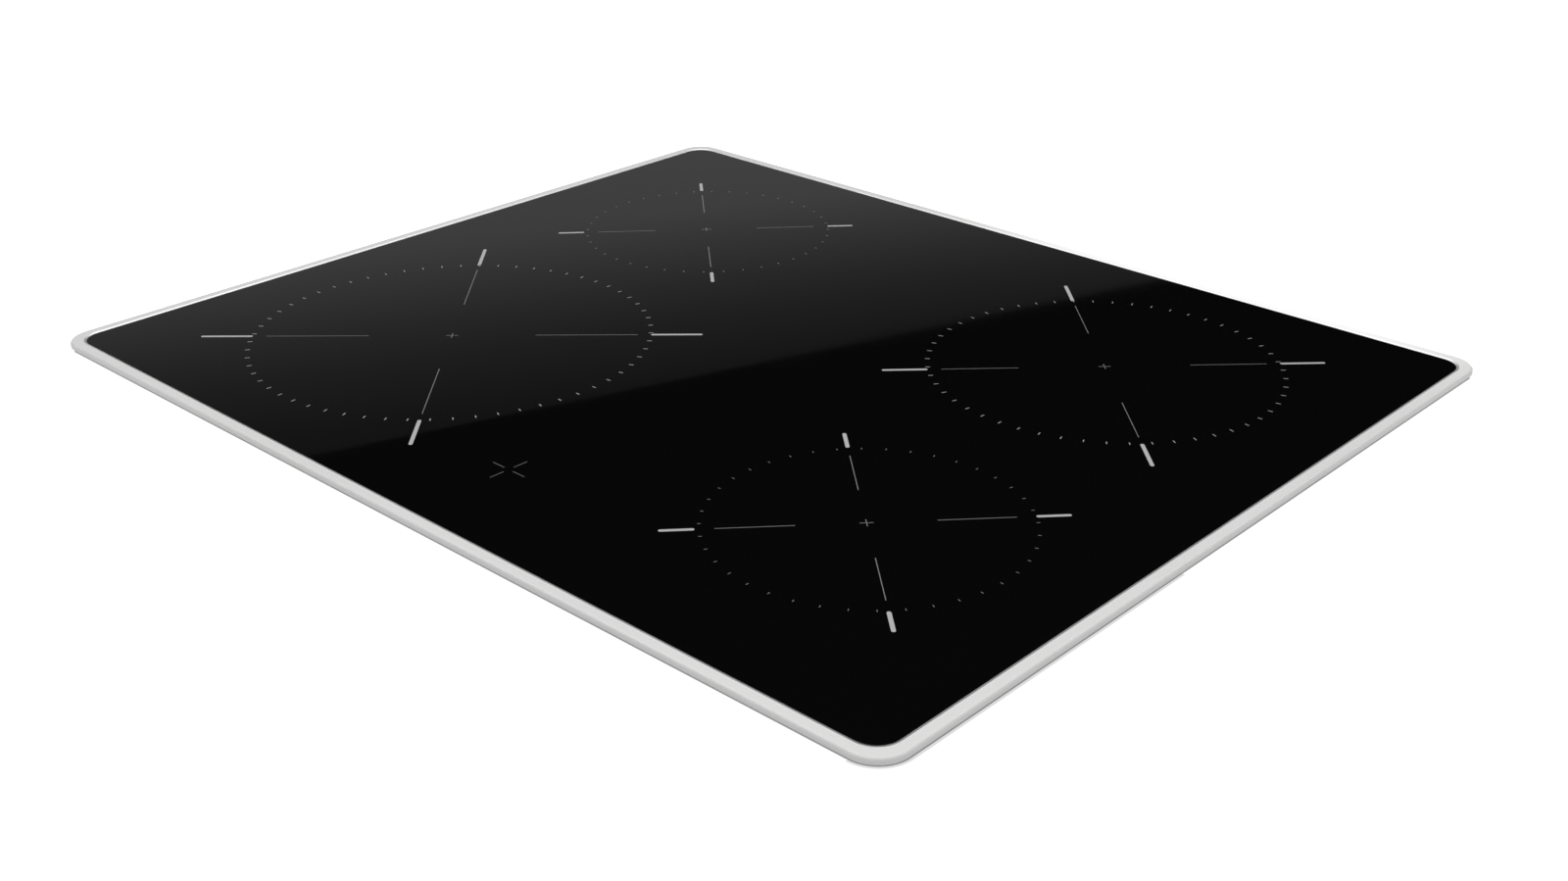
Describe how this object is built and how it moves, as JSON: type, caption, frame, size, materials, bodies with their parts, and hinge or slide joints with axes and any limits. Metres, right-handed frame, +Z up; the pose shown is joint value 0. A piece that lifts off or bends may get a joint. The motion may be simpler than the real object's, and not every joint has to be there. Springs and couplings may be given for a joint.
{
  "type": "induction cooktop",
  "caption": "Built-in electric induction cooktop: rectangular black glass plate with printed zone rings in a slim metal trim frame, over a shallow steel casing.",
  "frame": {"origin": "centre of the casing's underside, below the middle of the glass", "axes": "+X the user's right, +Y towards the back, +Z up; the user stands at -Y"},
  "size_m": [0.6, 0.506, 0.0553],
  "materials": {
    "black_glass": "gloss",
    "trim_steel": "satin",
    "grey_seal": "matte",
    "foam": "matte",
    "silicone": "matte",
    "casing_steel": "satin",
    "screw_steel": "satin",
    "spring_steel": "satin",
    "aluminium_part": "satin",
    "copper": "satin",
    "brass_screws": "satin",
    "ferrite": "matte",
    "white_ceramic": "satin",
    "insulation_felt": "matte",
    "former_plastic": "matte",
    "black_plastic": "matte",
    "white_plastic": "satin",
    "circuit_board": "satin",
    "capacitor_case": "satin",
    "display_window": "gloss",
    "black_rubber": "matte"
  },
  "bodies": {
    "hob": {"glass_plate": "black_glass", "trim_frame": "trim_steel", "edge_seal": "grey_seal", "worktop_seal": "foam", "glass_bond": "silicone", "base_tray": "casing_steel", "terminal_cover": "black_plastic", "case_screws": "screw_steel", "terminal_block": "white_plastic", "terminal_screws": "brass_screws", "cable_grommet": "black_rubber", "cable_clamp": "white_plastic", "filter_board": "circuit_board", "filter_choke": "copper", "filter_capacitors": "capacitor_case", "left_power_board": "circuit_board", "right_power_board": "circuit_board", "left_heatsink": "aluminium_part", "right_heatsink": "aluminium_part", "power_transistors": "black_plastic", "dc_link_capacitors": "capacitor_case", "control_carrier": "black_plastic", "control_board": "circuit_board", "touch_pads": "black_rubber", "displays": "display_window", "left_fan_housing": "black_plastic", "left_fan_motor": "screw_steel", "left_carrier_springs": "spring_steel", "right_fan_housing": "black_plastic", "right_fan_motor": "screw_steel", "right_carrier_springs": "spring_steel"},
    "left_fan_rotor": {"left_impeller": "black_plastic"},
    "left_coils": {"left_coil_carrier": "aluminium_part", "left_ferrites": "ferrite", "left_insulation": "insulation_felt", "left_sensors": "white_ceramic", "front_left_former": "former_plastic", "front_left_winding": "copper", "back_left_former": "former_plastic", "back_left_winding": "copper"},
    "right_fan_rotor": {"right_impeller": "black_plastic"},
    "right_coils": {"right_coil_carrier": "aluminium_part", "right_ferrites": "ferrite", "right_insulation": "insulation_felt", "right_sensors": "white_ceramic", "back_right_former": "former_plastic", "back_right_winding": "copper", "front_right_former": "former_plastic", "front_right_winding": "copper"},
    "front_left_screw": {"front_left_clamp_screw": "screw_steel"},
    "front_left_arm": {"front_left_clamp_arm": "spring_steel"},
    "front_right_screw": {"front_right_clamp_screw": "screw_steel"},
    "front_right_arm": {"front_right_clamp_arm": "spring_steel"},
    "back_left_screw": {"back_left_clamp_screw": "screw_steel"},
    "back_left_arm": {"back_left_clamp_arm": "spring_steel"},
    "back_right_screw": {"back_right_clamp_screw": "screw_steel"},
    "back_right_arm": {"back_right_clamp_arm": "spring_steel"}
  },
  "joints": [
    {"name": "left_fan_spin", "type": "hinge", "parent": "hob", "child": "left_fan_rotor", "pos_m": [-0.165, 0.148, 0.02], "axis": [0, 0, 1], "continuous": true},
    {"name": "right_fan_spin", "type": "hinge", "parent": "hob", "child": "right_fan_rotor", "pos_m": [0.165, 0.148, 0.02], "axis": [0, 0, 1], "continuous": true},
    {"name": "left_coils_press", "type": "slide", "parent": "hob", "child": "left_coils", "axis": [0, 0, 1], "range_m": [-0.0025, 0], "stiffness_N_per_m": 6000, "springref_m": 0.006, "deforming": ["left_carrier_springs"]},
    {"name": "right_coils_press", "type": "slide", "parent": "hob", "child": "right_coils", "axis": [0, 0, 1], "range_m": [-0.0025, 0], "stiffness_N_per_m": 6000, "springref_m": 0.006, "deforming": ["right_carrier_springs"]},
    {"name": "front_left_clamp_lift", "type": "slide", "parent": "hob", "child": "front_left_screw", "axis": [0, 0, 1], "range_m": [0, 0.014]},
    {"name": "front_left_clamp_swing", "type": "hinge", "parent": "front_left_screw", "child": "front_left_arm", "pos_m": [-0.204, -0.232, 0.007], "axis": [0, 0, -1], "range_deg": [0, 90]},
    {"name": "front_right_clamp_lift", "type": "slide", "parent": "hob", "child": "front_right_screw", "axis": [0, 0, 1], "range_m": [0, 0.014]},
    {"name": "front_right_clamp_swing", "type": "hinge", "parent": "front_right_screw", "child": "front_right_arm", "pos_m": [0.204, -0.232, 0.007], "axis": [0, 0, 1], "range_deg": [0, 90]},
    {"name": "back_left_clamp_lift", "type": "slide", "parent": "hob", "child": "back_left_screw", "axis": [0, 0, 1], "range_m": [0, 0.014]},
    {"name": "back_left_clamp_swing", "type": "hinge", "parent": "back_left_screw", "child": "back_left_arm", "pos_m": [-0.204, 0.232, 0.007], "axis": [0, 0, 1], "range_deg": [0, 90]},
    {"name": "back_right_clamp_lift", "type": "slide", "parent": "hob", "child": "back_right_screw", "axis": [0, 0, 1], "range_m": [0, 0.014]},
    {"name": "back_right_clamp_swing", "type": "hinge", "parent": "back_right_screw", "child": "back_right_arm", "pos_m": [0.204, 0.232, 0.007], "axis": [0, 0, -1], "range_deg": [0, 90]}
  ]
}
